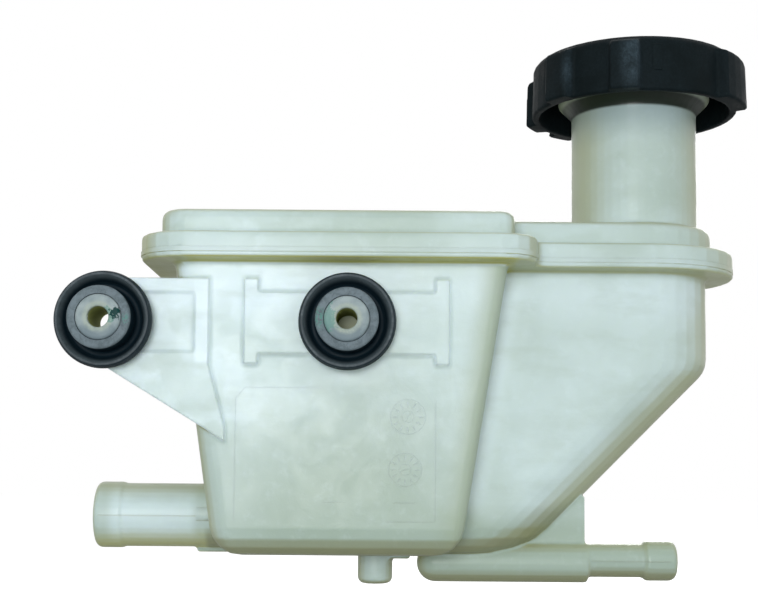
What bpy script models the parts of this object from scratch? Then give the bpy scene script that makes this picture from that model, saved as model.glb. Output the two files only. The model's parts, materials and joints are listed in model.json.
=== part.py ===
"""Power steering reservoir: a welded plastic tank with a filler neck, hose spigots and two rubber mounts.

X runs along the tank, Y from its front wall to its back wall and Z up, in metres. The origin is the centre
of the middle mounting bush, at the bush's front face.
"""

import math

import bmesh
import bpy
from mathutils import Matrix, Vector

# Running gap between separate pieces that seat on each other
SEAT_GAP = 0.0003
# Length by which a cutter or a joined boss runs past the wall it meets
OVERRUN = 0.004
# Small rounding of a moulded edge, and blend where two walls meet
EDGE = 0.0005
BLEND = 0.0008

# Tank plan at the weld plane
TANK_LEFT = -0.0510
STEP_X = 0.0466
TANK_FRONT = 0.0131
NECK_X = 0.0891
NECK_Y = 0.0505
LOBE_RADIUS = 0.0218
CORNER_ROUND = 0.0060
STEP_ROUND = 0.0030
INNER_ROUND = 0.0010

# Tank heights and walls
WELD_Z = 0.0199
TANK_DEPTH = 0.0865
WALL = 0.0025
FLOOR_ROUND = 0.0080
LEFT_DRAFT = math.radians(8.3)
STEP_DRAFT = math.radians(9.2)
FACE_DRAFT = math.radians(0.6)

# Sloping underside of the lobe, through a point in from the lobe's end and down from the weld
SLOPE_ANGLE = math.radians(45.2)
SLOPE_INSET = 0.0078
SLOPE_DROP = 0.0379
SLOPE_UPPER_ROUND = 0.0080
SLOPE_LOWER_ROUND = 0.0260

# Weld flange and cover, and how much further each reaches at the tank's left end
FLANGE_OVERHANG = 0.0083
TANK_FLANGE = 0.0020
COVER_FLANGE = 0.0052
FLANGE_EDGE_ROUND = 0.0012
FLANGE_REACH = 0.0011
FLANGE_INNER_ROUND = 0.0030
PLATEAU_RISE = 0.0077
PLATEAU_GROW = 0.0016
PLATEAU_EDGE_ROUND = 0.0026
PLATEAU_REACH = 0.0020

# Filler neck
NECK_RADIUS = 0.0194
NECK_WALL = 0.0025
NECK_HEIGHT = 0.0503
NECK_BLEND = 0.0030
COLLAR_RADIUS = 0.0236
COLLAR_LIP = 0.0014
THREAD_LENGTH = 0.0073
THREAD_LEAD = 0.0045
THREAD_HEIGHT = 0.0017
THREAD_FOOT = 0.0019
THREAD_TIP = 0.0011
THREAD_ROOT = 0.0006
THREAD_CLEARANCE = 0.0005

# Cap, with its lugs as (angle, half width) in degrees: 0 faces the front and 90 faces right
CAP_HEIGHT = 0.0171
CAP_CROWN = 0.0022
CAP_DOME = 0.0006
CAP_WALL = 0.0022
CAP_RADIUS = 0.0315
CAP_SHOULDER = 0.0030
CAP_DRAFT = 0.0004
LUG_REACH = 0.0031
LUG_ROUND = 0.0015
LUG_FLANK = 2.0
LUG_RISE = 0.0007
LUGS = ((-118, 7), (-53, 7), (-15, 6.5), (58, 15), (140, 7), (180, 7), (215, 7))
THREAD_RING_WALL = 0.0020
SEAL_THICKNESS = 0.0015

# Mounting bushes and grommets
BUSH_PITCH = 0.0690
BUSH_RADIUS = 0.0064
BUSH_BORE = 0.00295
GROMMET_RADIUS = 0.01385
GROMMET_RING = 0.0068
GROMMET_BEVEL = 0.0011
GROMMET_ROUND = 0.0015
GROMMET_COLLAR = 0.0089
GROMMET_GROOVE = 0.0112
GROMMET_FLOOR = 0.0020
GROMMET_FILLET = 0.0010
GROMMET_BODY = 0.0093
GROMMET_BEAD = 0.0105
GROMMET_TAIL = 0.0030

# Bracket arm and front pads
PAD_RISE = 0.0011
PLATE_THICKNESS = 0.0040
ARM_END_RADIUS = 0.0128
ARM_LAP = 0.0112
ARM_BAR_Z = -0.0118
GUSSET_LAP = 0.0161
GUSSET_FOOT_Z = -0.0339
GUSSET_FOOT = 0.0040
BAND_HALF = 0.0088
BAND_DEPTH = 0.0006
BAND_ROUND = 0.0010
BAR_WIDTH = 0.0038
PAD_LEFT = -0.0296
PAD_RIGHT = 0.0290
POCKET_WALL = 0.0020
POCKET_RELIEF = 0.0112
POCKET_CLEARANCE = 0.0015

# Suction spigot on the left, its height above the floor and its length past the tank
SUCTION_RISE = 0.0108
SUCTION_LENGTH = 0.0253
SUCTION_RADIUS = 0.0096
SUCTION_BORE = 0.0076
SUCTION_BEAD = 0.0004
SUCTION_BEAD_LENGTH = 0.0080
SUCTION_NOSE = 0.0017
ROOT_RIB = (0.0075, 0.0025, 0.0030)

# Return gallery and spigot under the floor, and the web that braces the gallery to the lobe
RETURN_DROP = 0.0020
RETURN_LENGTH = 0.0269
RETURN_RADIUS = 0.0051
RETURN_BORE = 0.0035
BARB_RADIUS = 0.0061
BARB_LENGTH = 0.0103
BARB_LEAD = 0.0012
BARB_NOSE = 0.0022
GALLERY_DROP = 0.0009
GALLERY_RADIUS = 0.0059
GALLERY_LEFT = 0.0210
GALLERY_LENGTH = 0.0518
PORT_INSET = 0.0085
WEB_THICKNESS = 0.0024

# Locating peg under the floor, with a stop block beside it
PEG_X = 0.0083
PEG_RADIUS = 0.0053
PEG_LENGTH = 0.0094
PEG_ROUND = 0.0020
STOP_BLOCK = (0.0052, 0.0080, 0.0018)

# Filter
FILTER_X = 0.0190
FILTER_DROP = 0.0059
FILTER_THICKNESS = 0.0030
FILTER_BAR = 0.0045
FILTER_CORNER = 0.0010
WINDOW_CORNER = 0.0020
SCREEN_THICKNESS = 0.0008
SCREEN_REBATE = 0.0015
GUIDE_THICKNESS = 0.0020
GUIDE_HEIGHT = 0.0035
GUIDE_DROP = 0.0060

# Facets of round pieces, and the widest facet of the cap in degrees
FINE_STEPS = 48
COARSE_STEPS = 32
SMALL_STEPS = 20
CAP_FACET = 9

# Values that follow from the sizes above
FLOOR_Z = WELD_Z - TANK_DEPTH
LOBE_FRONT = NECK_Y - LOBE_RADIUS
TANK_BACK = NECK_Y + LOBE_RADIUS
LOBE_END = NECK_X + LOBE_RADIUS
MID_Y = (TANK_FRONT + TANK_BACK) / 2
SLOPE_X = LOBE_END - SLOPE_INSET
SLOPE_Z = WELD_Z - SLOPE_DROP
COVER_Z = WELD_Z + SEAT_GAP
FLANGE_TOP_Z = COVER_Z + COVER_FLANGE
PLATEAU_Z = FLANGE_TOP_Z + PLATEAU_RISE
NECK_RIM_Z = PLATEAU_Z + NECK_HEIGHT
COLLAR_TOP_Z = NECK_RIM_Z - THREAD_LENGTH
COLLAR_Z = COLLAR_TOP_Z - COLLAR_LIP
SEAL_Z = NECK_RIM_Z + SEAT_GAP
CEILING_Z = SEAL_Z + SEAL_THICKNESS + SEAT_GAP
CAP_TOP_Z = CEILING_Z + CAP_CROWN
CAP_RIM_Z = CAP_TOP_Z - CAP_HEIGHT
RING_RADIUS = NECK_RADIUS + THREAD_HEIGHT + THREAD_CLEARANCE
HELIX_Z = COLLAR_TOP_Z + THREAD_FOOT
PLATE_FRONT = TANK_FRONT - PAD_RISE
PLATE_BACK = PLATE_FRONT + PLATE_THICKNESS
BUSH_LENGTH = PLATE_BACK + GROMMET_TAIL
LIP_RADIUS = GROMMET_BODY + SEAT_GAP
BUSH_CENTRES = {"left": -BUSH_PITCH, "middle": 0.0}
ARM_RIGHT = TANK_LEFT + ARM_LAP
GUSSET_FOOT_X = TANK_LEFT + GUSSET_LAP
SUCTION_Z = FLOOR_Z + SUCTION_RISE
SUCTION_END = TANK_LEFT - SUCTION_LENGTH
SUCTION_ROOT = TANK_LEFT + TANK_DEPTH * math.tan(LEFT_DRAFT) + FLOOR_ROUND
GALLERY_RIGHT = GALLERY_LEFT + GALLERY_LENGTH
GALLERY_Z = FLOOR_Z - RETURN_DROP - GALLERY_DROP
RETURN_Z = FLOOR_Z - RETURN_DROP
RETURN_PORT_X = GALLERY_LEFT + PORT_INSET
RETURN_END = GALLERY_RIGHT + RETURN_LENGTH
PEG_END_Z = FLOOR_Z - PEG_LENGTH
FILTER_TOP_Z = WELD_Z - FILTER_DROP
GUIDE_TOP_Z = FILTER_TOP_Z - GUIDE_DROP


def clear_scene():
    for old in list(bpy.data.objects):
        bpy.data.objects.remove(old, do_unlink=True)


def plastic(name, colour, roughness):
    made = bpy.data.materials.new(name)
    made.use_nodes = True
    shader = made.node_tree.nodes["Principled BSDF"]
    shader.inputs["Base Color"].default_value = (*colour, 1.0)
    shader.inputs["Roughness"].default_value = roughness
    shader.inputs["Metallic"].default_value = 0.0
    return made


def place(bm, name, material=None, parent=None, location=(0.0, 0.0, 0.0)):
    """Turns a bmesh into an object, with its normals facing out and its round faces smooth."""
    bmesh.ops.remove_doubles(bm, verts=bm.verts, dist=1e-7)
    bmesh.ops.recalc_face_normals(bm, faces=bm.faces)
    mesh = bpy.data.meshes.new(name)
    bm.to_mesh(mesh)
    bm.free()
    mesh.shade_smooth()
    mesh.set_sharp_from_angle(angle=math.radians(35))
    made = bpy.data.objects.new(name, mesh)
    bpy.context.scene.collection.objects.link(made)
    made.location = location
    made.parent = parent
    if material:
        mesh.materials.append(material)
    return made


def outline(corners):
    """A closed outline from corners (u, v, radius, steps), each turned into an arc of that radius."""
    points = []
    for i, (u, v, radius, steps) in enumerate(corners):
        here = Vector((u, v))
        to_last = (Vector(corners[i - 1][:2]) - here).normalized()
        to_next = (Vector(corners[(i + 1) % len(corners)][:2]) - here).normalized()
        if radius <= 0:
            points.append(here)
            continue
        half = to_last.angle(to_next) / 2
        centre = here + (to_last + to_next).normalized() * radius / math.sin(half)
        start = here + to_last * radius / math.tan(half) - centre
        turn = (math.pi - 2 * half) * (1 if to_last.cross(to_next) < 0 else -1)
        for k in range(steps + 1):
            points.append(centre + Matrix.Rotation(turn * k / steps, 2) @ start)
    return [(p.x, p.y) for p in points]


def stack(rings, closed=False):
    """A closed solid through rings of points: neighbours are bridged, and both ends are capped.

    Where it is closed, the last ring is bridged to the first instead.
    """
    bm = bmesh.new()
    rows = [[bm.verts.new(point) for point in ring] for ring in rings]
    pairs = list(zip(rows, rows[1:]))
    if closed:
        pairs.append((rows[-1], rows[0]))
    for low, high in pairs:
        count = len(low)
        for i in range(count):
            bm.faces.new((low[i], low[(i + 1) % count], high[(i + 1) % count], high[i]))
    if not closed:
        bm.faces.new(rows[0])
        bm.faces.new(rows[-1])
    return bm


def to_space(axis, u, v, along):
    """The point that lies along an axis by one distance, and across it by two."""
    return {"X": (along, u, v), "Y": (u, along, v), "Z": (u, v, along)}[axis]


def slab(points, axis, low, high):
    """A plate whose outline lies across the axis, from low to high along it."""
    return stack([[to_space(axis, u, v, along) for u, v in points] for along in (low, high)])


def block(low, high):
    corners = ((low[0], low[1]), (high[0], low[1]), (high[0], high[1]), (low[0], high[1]))
    return slab(corners, "Z", low[2], high[2])


def turned(profile, axis, steps, centre=(0.0, 0.0, 0.0)):
    """Spins a profile of (radius, along) points round an axis through the centre.

    A profile that starts and ends on the axis makes a solid with flat ends, and any other a ring.
    """
    angles = [math.tau * k / steps for k in range(steps)]
    rings = []
    for radius, along in profile:
        if radius > 0:
            around = [to_space(axis, radius * math.cos(t), radius * math.sin(t), along) for t in angles]
            rings.append([tuple(Vector(centre) + Vector(point)) for point in around])
    return stack(rings, closed=profile[0][0] > 0)


def combine(target, bm, operation):
    """Adds a Boolean with a hidden helper made from the bmesh, in the target's own space."""
    helper = place(bm, f"{target.name}_{operation.lower()}_{len(target.modifiers)}")
    helper.parent = target
    helper.hide_render = True
    helper.display_type = "WIRE"
    modifier = target.modifiers.new(helper.name, "BOOLEAN")
    modifier.operation = operation
    modifier.solver = "EXACT"
    modifier.object = helper
    helper.hide_set(True)


def join(target, bm):
    combine(target, bm, "UNION")


def cut(target, bm):
    combine(target, bm, "DIFFERENCE")


def lobe_slope(inset):
    """Centres and radii of the two arcs that blend the lobe's slope, moved in by an inset."""
    sine, cosine = math.sin(SLOPE_ANGLE), math.cos(SLOPE_ANGLE)
    on_line = Vector((SLOPE_X - inset * sine, SLOPE_Z + inset * cosine))
    upper = SLOPE_UPPER_ROUND - inset
    lower = SLOPE_LOWER_ROUND - inset
    upper_x = LOBE_END - inset - upper
    upper_z = on_line.y + (sine * (upper_x - on_line.x) + upper) / cosine
    lower_z = FLOOR_Z + inset + lower
    lower_x = on_line.x + (cosine * (lower_z - on_line.y) - lower) / sine
    return on_line, (upper_x, upper_z, upper), (lower_x, lower_z, lower)


def lobe_reach(z, inset):
    """X of the lobe's right end at a height: upright, then sloping in, then blending into the floor."""
    on_line, (upper_x, upper_z, upper), (lower_x, lower_z, lower) = lobe_slope(inset)
    cosine = math.cos(SLOPE_ANGLE)
    if z >= upper_z:
        return upper_x + upper
    if z >= upper_z - upper * cosine:
        return upper_x + math.sqrt(upper**2 - (upper_z - z) ** 2)
    if z >= lower_z - lower * cosine:
        return on_line.x + (z - on_line.y) / math.tan(SLOPE_ANGLE)
    return lower_x + math.sqrt(max(lower**2 - (lower_z - z) ** 2, 0.0))


def plan(z, grow=0.0, pinch=0.0, inner_round=INNER_ROUND, reach=0.0):
    """The tank's outline at a height, grown outwards, and pinched in again where the floor is rounded.

    Its left end can reach further out than the other sides.
    """
    down = max(WELD_Z - z, 0.0)
    move = grow - pinch
    faces = down * math.tan(FACE_DRAFT)
    left = TANK_LEFT + down * math.tan(LEFT_DRAFT) - move - reach
    step = STEP_X - down * math.tan(STEP_DRAFT) + move
    front = TANK_FRONT + faces - move
    lobe = LOBE_FRONT + faces - move
    back = TANK_BACK - faces + move
    end = lobe_reach(z, -grow)
    left_round = max(CORNER_ROUND + move, EDGE)
    step_round = max(STEP_ROUND + move, EDGE)
    end_round = (back - lobe) / 2 - SEAT_GAP
    corners = (
        (left, front, left_round, 5),
        (step, front, step_round, 4),
        (step, lobe, inner_round, 3),
        (end, lobe, end_round, 8),
        (end, back, end_round, 8),
        (left, back, left_round, 5),
    )
    return [(x, y, z) for x, y in outline(corners)]


def floor_levels(inset, steps=4):
    """Heights and pinches of the rounded edge between the walls and the floor, from the top down."""
    radius = FLOOR_ROUND - inset
    levels = []
    for k in range(steps + 1):
        angle = math.pi / 2 * k / steps
        levels.append((FLOOR_Z + inset + radius * (1 - math.sin(angle)), radius * (1 - math.cos(angle))))
    return levels


def wall_rings(top, inset):
    """Rings down a wall of the tank, from a height to its floor."""
    _, (_, upper_z, upper), (_, lower_z, lower) = lobe_slope(inset)
    drops = [math.sin((math.pi / 2 - SLOPE_ANGLE) * k / 3) for k in range(4)]
    heights = [top] + [upper_z - upper * drop for drop in drops]
    heights.append(max(lower_z - lower * math.cos(SLOPE_ANGLE), floor_levels(inset)[0][0] + EDGE))
    rings = [plan(z, -inset) for z in heights]
    rings += [plan(z, -inset, pinch) for z, pinch in floor_levels(inset)]
    return rings


def round_levels(radius, steps=3):
    """Offsets (in, up) along a quarter round, from its foot to its top."""
    angles = [math.pi / 2 * k / steps for k in range(steps + 1)]
    return [(radius * (1 - math.cos(angle)), radius * math.sin(angle)) for angle in angles]


def tank_body():
    """Outer form of the tank with its weld flange, still solid inside."""
    under = WELD_Z - TANK_FLANGE
    edge = FLANGE_OVERHANG
    rings = [
        plan(WELD_Z, edge, inner_round=FLANGE_INNER_ROUND, reach=FLANGE_REACH),
        plan(under + EDGE, edge, inner_round=FLANGE_INNER_ROUND, reach=FLANGE_REACH),
        plan(under, edge - EDGE, inner_round=FLANGE_INNER_ROUND, reach=FLANGE_REACH),
        plan(under, BLEND),
    ]
    return stack(rings + wall_rings(under - BLEND, 0.0))


def tank_cavity():
    return stack([plan(WELD_Z + OVERRUN, -WALL)] + wall_rings(WELD_Z, WALL))


def arm_outline():
    """Bracket arm: a round end about its bush, a level top edge and a gusset down to the front wall."""
    centre = Vector((-BUSH_PITCH, 0.0))
    foot = Vector((GUSSET_FOOT_X, GUSSET_FOOT_Z))
    towards = foot - centre
    lean = math.asin(ARM_END_RADIUS / towards.length)
    heading = math.atan2(towards.y, towards.x) - lean
    first = heading + 3 * math.pi / 2
    sweep = math.pi / 2 - first
    steps = COARSE_STEPS // 2
    points = []
    for k in range(steps + 1):
        angle = first + sweep * k / steps
        points.append((centre.x + ARM_END_RADIUS * math.cos(angle), ARM_END_RADIUS * math.sin(angle)))
    points.append((ARM_RIGHT, ARM_END_RADIUS))
    points.append((ARM_RIGHT, ARM_BAR_Z))
    points.append((foot.x, foot.y + GUSSET_FOOT))
    points.append((foot.x, foot.y))
    return points


def add_arm(tank):
    join(tank, slab(arm_outline(), "Y", PLATE_FRONT, PLATE_BACK))
    left = -BUSH_PITCH + ARM_END_RADIUS
    recess = outline(
        [
            (left, -BAND_HALF, BAND_ROUND, 2),
            (ARM_RIGHT - BAR_WIDTH, -BAND_HALF, BAND_ROUND, 2),
            (ARM_RIGHT - BAR_WIDTH, BAND_HALF, BAND_ROUND, 2),
            (left, BAND_HALF, BAND_ROUND, 2),
        ]
    )
    cut(tank, slab(recess, "Y", PLATE_FRONT - OVERRUN, PLATE_FRONT + BAND_DEPTH))


def add_pads(tank):
    """Raised seat of the middle grommet, with its band and the two upright bars at the band's ends."""
    back = TANK_FRONT + WALL / 2
    half = BAND_HALF
    band = ((PAD_LEFT, -half), (PAD_RIGHT, -half), (PAD_RIGHT, half), (PAD_LEFT, half))
    join(tank, slab(band, "Y", PLATE_FRONT, back))
    for left in (PAD_LEFT, PAD_RIGHT - BAR_WIDTH):
        right = left + BAR_WIDTH
        bar = ((left, ARM_BAR_Z), (right, ARM_BAR_Z), (right, ARM_END_RADIUS), (left, ARM_END_RADIUS))
        join(tank, slab(bar, "Y", PLATE_FRONT, back))
    cup = POCKET_RELIEF + POCKET_WALL
    front = PLATE_FRONT + BAND_DEPTH
    end = BUSH_LENGTH + POCKET_CLEARANCE + POCKET_WALL
    profile = ((0, front), (cup, front), (cup, end), (0, end))
    join(tank, turned(profile, "Y", COARSE_STEPS))


def cut_pockets(tank):
    """The arm's hole, and the blind pocket in the front wall, each with a lip that the grommet grips."""
    front = PLATE_FRONT - OVERRUN
    back = PLATE_BACK + OVERRUN
    through = ((0, front), (LIP_RADIUS, front), (LIP_RADIUS, back), (0, back))
    cut(tank, turned(through, "Y", COARSE_STEPS, (BUSH_CENTRES["left"], 0.0, 0.0)))
    end = BUSH_LENGTH + POCKET_CLEARANCE
    blind = (
        (0, front),
        (LIP_RADIUS, front),
        (LIP_RADIUS, PLATE_BACK),
        (POCKET_RELIEF, PLATE_BACK + EDGE),
        (POCKET_RELIEF, end),
        (0, end),
    )
    cut(tank, turned(blind, "Y", COARSE_STEPS))


def add_suction_spigot(tank):
    """Hose spigot on the left wall, with a rounded nose and a low bead."""
    bead = SUCTION_RADIUS + SUCTION_BEAD
    shoulder = SUCTION_END + SUCTION_BEAD_LENGTH
    profile = outline(
        [
            (0, SUCTION_END, 0, 0),
            (bead, SUCTION_END, SUCTION_NOSE, 4),
            (bead, shoulder, 0, 0),
            (SUCTION_RADIUS, shoulder + SUCTION_BEAD, 0, 0),
            (SUCTION_RADIUS, SUCTION_ROOT, 0, 0),
            (0, SUCTION_ROOT, 0, 0),
        ]
    )
    join(tank, turned(profile, "X", COARSE_STEPS, (0.0, MID_Y, SUCTION_Z)))
    length, width, height = ROOT_RIB
    left = SUCTION_ROOT - FLOOR_ROUND - length
    low = SUCTION_Z - SUCTION_RADIUS - height / 2
    right = SUCTION_ROOT - FLOOR_ROUND / 2
    rib = block((left, MID_Y - width / 2, low), (right, MID_Y + width / 2, low + height))
    join(tank, rib)


def add_return_gallery(tank):
    """Gallery under the floor that carries the return spigot, and the web that braces it to the lobe."""
    nose = GALLERY_RADIUS - SEAT_GAP
    profile = outline(
        [
            (0, GALLERY_LEFT, 0, 0),
            (GALLERY_RADIUS, GALLERY_LEFT, nose, 6),
            (GALLERY_RADIUS, GALLERY_RIGHT, EDGE, 1),
            (0, GALLERY_RIGHT, 0, 0),
        ]
    )
    join(tank, turned(profile, "X", SMALL_STEPS, (0.0, MID_Y, GALLERY_Z)))
    half = GALLERY_RADIUS * math.sqrt(0.5)
    saddle = block(
        (GALLERY_LEFT + GALLERY_RADIUS, MID_Y - half, GALLERY_Z),
        (GALLERY_LEFT + 3 * GALLERY_RADIUS, MID_Y + half, FLOOR_Z + WALL / 2),
    )
    join(tank, saddle)
    left = GALLERY_LEFT + GALLERY_LENGTH / 2
    right = GALLERY_RIGHT - BLEND
    top = SLOPE_Z + (right - SLOPE_X) * math.tan(SLOPE_ANGLE)
    web = (
        (left, GALLERY_Z),
        (right, GALLERY_Z),
        (right, top),
        (right - OVERRUN, top + WALL),
        (left, FLOOR_Z + WALL / 2),
    )
    join(tank, slab(web, "Y", MID_Y - WEB_THICKNESS / 2, MID_Y + WEB_THICKNESS / 2))
    shoulder = RETURN_END - BARB_LENGTH
    barb = outline(
        [
            (0, GALLERY_RIGHT - OVERRUN, 0, 0),
            (RETURN_RADIUS, GALLERY_RIGHT - OVERRUN, 0, 0),
            (RETURN_RADIUS, shoulder, 0, 0),
            (BARB_RADIUS, shoulder + BARB_LEAD, EDGE, 2),
            (BARB_RADIUS, RETURN_END, BARB_NOSE, 4),
            (0, RETURN_END, 0, 0),
        ]
    )
    join(tank, turned(barb, "X", SMALL_STEPS, (0.0, MID_Y, RETURN_Z)))


def add_underside(tank):
    """Locating peg under the floor, and the small stop block beside it."""
    profile = outline(
        [
            (0, PEG_END_Z, 0, 0),
            (PEG_RADIUS, PEG_END_Z, PEG_ROUND, 4),
            (PEG_RADIUS, FLOOR_Z + WALL / 2, 0, 0),
            (0, FLOOR_Z + WALL / 2, 0, 0),
        ]
    )
    join(tank, turned(profile, "Z", SMALL_STEPS, (PEG_X, MID_Y, 0.0)))
    length, width, height = STOP_BLOCK
    left = PEG_X + PEG_RADIUS
    low = (left - WALL / 2, MID_Y - width / 2, FLOOR_Z - height)
    high = (left + length, MID_Y + width / 2, FLOOR_Z + WALL / 2)
    join(tank, block(low, high))


def add_filter_guides(tank):
    """Two pairs of upright ribs, on the front and back walls, that the filter frame slides between."""
    gap = FILTER_THICKNESS / 2 + SEAT_GAP
    for side in (-1, 1):
        near, far = sorted((FILTER_X + side * gap, FILTER_X + side * (gap + GUIDE_THICKNESS)))
        front = TANK_FRONT + WALL
        back = TANK_BACK - WALL
        low = FLOOR_Z + FLOOR_ROUND + BLEND
        join(tank, block((near, front - WALL / 2, low), (far, front + GUIDE_HEIGHT, GUIDE_TOP_Z)))
        join(tank, block((near, back - GUIDE_HEIGHT, low), (far, back + WALL / 2, GUIDE_TOP_Z)))


def cut_bores(tank):
    """Bores of both spigots, and the port that lets the return gallery up through the floor."""
    left = SUCTION_END - OVERRUN
    suction = ((0, left), (SUCTION_BORE, left), (SUCTION_BORE, SUCTION_ROOT), (0, SUCTION_ROOT))
    cut(tank, turned(suction, "X", COARSE_STEPS, (0.0, MID_Y, SUCTION_Z)))
    inner = RETURN_PORT_X - RETURN_BORE
    outer = RETURN_END + OVERRUN
    bore = ((0, inner), (RETURN_BORE, inner), (RETURN_BORE, outer), (0, outer))
    cut(tank, turned(bore, "X", SMALL_STEPS, (0.0, MID_Y, RETURN_Z)))
    half = RETURN_BORE * math.sqrt(0.5)
    port = block(
        (RETURN_PORT_X - half, MID_Y - half, RETURN_Z),
        (RETURN_PORT_X + half, MID_Y + half, FLOOR_Z + WALL + OVERRUN),
    )
    cut(tank, port)


def build_tank(material, parent):
    tank = place(tank_body(), "lower_tank", material, parent)
    add_arm(tank)
    add_suction_spigot(tank)
    add_return_gallery(tank)
    add_underside(tank)
    cut(tank, tank_cavity())
    add_pads(tank)
    add_filter_guides(tank)
    cut_pockets(tank)
    cut_bores(tank)
    return tank


def cover_shell():
    """Cover from the ceiling inside, out under the flange and up over the plateau."""
    ceiling = PLATEAU_Z - WALL
    inner = PLATEAU_GROW - WALL
    edge = FLANGE_OVERHANG
    rings = [
        plan(ceiling, inner - BLEND, reach=PLATEAU_REACH),
        plan(ceiling - BLEND, inner, reach=PLATEAU_REACH),
        plan(FLANGE_TOP_Z - WALL, inner, reach=PLATEAU_REACH),
        plan(FLANGE_TOP_Z - 2 * WALL, -WALL),
        plan(COVER_Z, -WALL),
        plan(COVER_Z, edge, inner_round=FLANGE_INNER_ROUND, reach=FLANGE_REACH),
    ]
    levels = []
    for inward, up in round_levels(FLANGE_EDGE_ROUND):
        levels.append((FLANGE_TOP_Z - FLANGE_EDGE_ROUND + up, edge - inward, FLANGE_REACH))
    levels.append((FLANGE_TOP_Z, PLATEAU_GROW + BLEND, PLATEAU_REACH))
    levels.append((FLANGE_TOP_Z + BLEND, PLATEAU_GROW, PLATEAU_REACH))
    for inward, up in round_levels(PLATEAU_EDGE_ROUND):
        levels.append((PLATEAU_Z - PLATEAU_EDGE_ROUND + up, PLATEAU_GROW - inward, PLATEAU_REACH))
    for z, grow, reach in levels:
        rings.append(plan(z, grow, inner_round=FLANGE_INNER_ROUND, reach=reach))
    return stack(rings)


def neck_profile():
    """Outside of the filler neck, from inside the cover to its rim, with the collar that stops the cap."""
    flare = COLLAR_RADIUS - NECK_RADIUS
    return outline(
        [
            (0, PLATEAU_Z - WALL / 2, 0, 0),
            (NECK_RADIUS, PLATEAU_Z - WALL / 2, 0, 0),
            (NECK_RADIUS, COLLAR_Z - flare, NECK_BLEND, 3),
            (COLLAR_RADIUS, COLLAR_Z, EDGE, 1),
            (COLLAR_RADIUS, COLLAR_TOP_Z, EDGE, 1),
            (NECK_RADIUS, COLLAR_TOP_Z, 0, 0),
            (NECK_RADIUS, NECK_RIM_Z, EDGE, 1),
            (0, NECK_RIM_Z, 0, 0),
        ]
    )


def helix_ridge(wall_radius, sign, base_z, low_z, high_z):
    """A trapezoid thread ridge between two heights, on a helix that is at base_z at angle zero.

    Sign +1 stands out of a shaft and -1 stands into a bore.
    """
    first = (low_z + THREAD_FOOT / 2 - base_z) / THREAD_LEAD
    last = (high_z - THREAD_FOOT / 2 - base_z) / THREAD_LEAD
    steps = round((last - first) * FINE_STEPS)
    rings = []
    for k in range(steps + 1):
        turn = first + (last - first) * k / steps
        angle = math.tau * turn
        z = base_z + THREAD_LEAD * turn
        share = min(1.0, (min(k, steps - k) + 1) / 5)
        inner = wall_radius - sign * THREAD_ROOT
        outer = wall_radius + sign * THREAD_HEIGHT * share
        section = (
            (inner, -THREAD_FOOT / 2),
            (outer, -THREAD_TIP / 2),
            (outer, THREAD_TIP / 2),
            (inner, THREAD_FOOT / 2),
        )
        rings.append([(r * math.cos(angle), r * math.sin(angle), z + dz) for r, dz in section])
    return stack(rings)


def build_cover(material, parent):
    cover = place(cover_shell(), "upper_cover", material, parent)
    centre = (NECK_X, NECK_Y, 0.0)
    join(cover, turned(neck_profile(), "Z", FINE_STEPS, centre))
    ridge = helix_ridge(NECK_RADIUS, 1, HELIX_Z, COLLAR_TOP_Z + SEAT_GAP, NECK_RIM_Z - SEAT_GAP)
    bmesh.ops.translate(ridge, vec=centre, verts=ridge.verts)
    join(cover, ridge)
    bore = NECK_RADIUS - NECK_WALL
    low, high = COVER_Z, NECK_RIM_Z + OVERRUN
    cut(cover, turned(((0, low), (bore, low), (bore, high), (0, high)), "Z", FINE_STEPS, centre))
    return cover


def cap_angles():
    """Angles round the cap, close together on the lugs' flanks and wide apart between them."""
    marks = set()
    for middle, half in LUGS:
        for offset in (-half - LUG_FLANK, -half, -half / 2, 0, half / 2, half, half + LUG_FLANK):
            marks.add(round((middle + offset) % 360, 3))
    marks = sorted(marks)
    angles = []
    for here, after in zip(marks, marks[1:] + [marks[0] + 360]):
        parts = max(1, math.ceil((after - here) / CAP_FACET))
        angles += [here + (after - here) * k / parts for k in range(parts)]
    return angles


def lug_share(angle):
    """1 on a lug, 0 between lugs, and rising along a flank."""
    best = 0.0
    for middle, half in LUGS:
        away = abs((angle - middle + 180) % 360 - 180)
        best = max(best, min(1.0, max(0.0, (half + LUG_FLANK - away) / LUG_FLANK)))
    return best


def cap_ring(z, radius, lug=0.0):
    """A ring of the cap. An angle of 0 degrees faces the front and 90 degrees faces right."""
    ring = []
    for angle in cap_angles():
        reach = radius + lug * lug_share(angle)
        turn = math.radians(angle)
        ring.append((reach * math.sin(turn), -reach * math.cos(turn), z))
    return ring


def cap_shell():
    """Lobed cap from its ceiling, down inside the skirt and up over the lugs to the domed top."""
    inner = CAP_RADIUS - CAP_WALL
    foot = CAP_RADIUS + CAP_DRAFT
    shoulder = CAP_TOP_Z - CAP_SHOULDER
    rings = [
        cap_ring(CEILING_Z, inner - BLEND),
        cap_ring(CEILING_Z - BLEND, inner),
        cap_ring(CAP_RIM_Z, inner + CAP_DRAFT),
        cap_ring(CAP_RIM_Z, foot - EDGE, LUG_REACH),
        cap_ring(CAP_RIM_Z + EDGE, foot, LUG_REACH),
    ]
    for inward, up in round_levels(LUG_ROUND, 2):
        rings.append(cap_ring(shoulder + LUG_RISE - LUG_ROUND + up, CAP_RADIUS, LUG_REACH - inward))
    for inward, up in round_levels(CAP_SHOULDER, 3)[1:]:
        rings.append(cap_ring(shoulder + up, CAP_RADIUS - inward))
    rings.append(cap_ring(CAP_TOP_Z + CAP_DOME, CAP_RADIUS / 2))
    return stack(rings)


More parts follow.
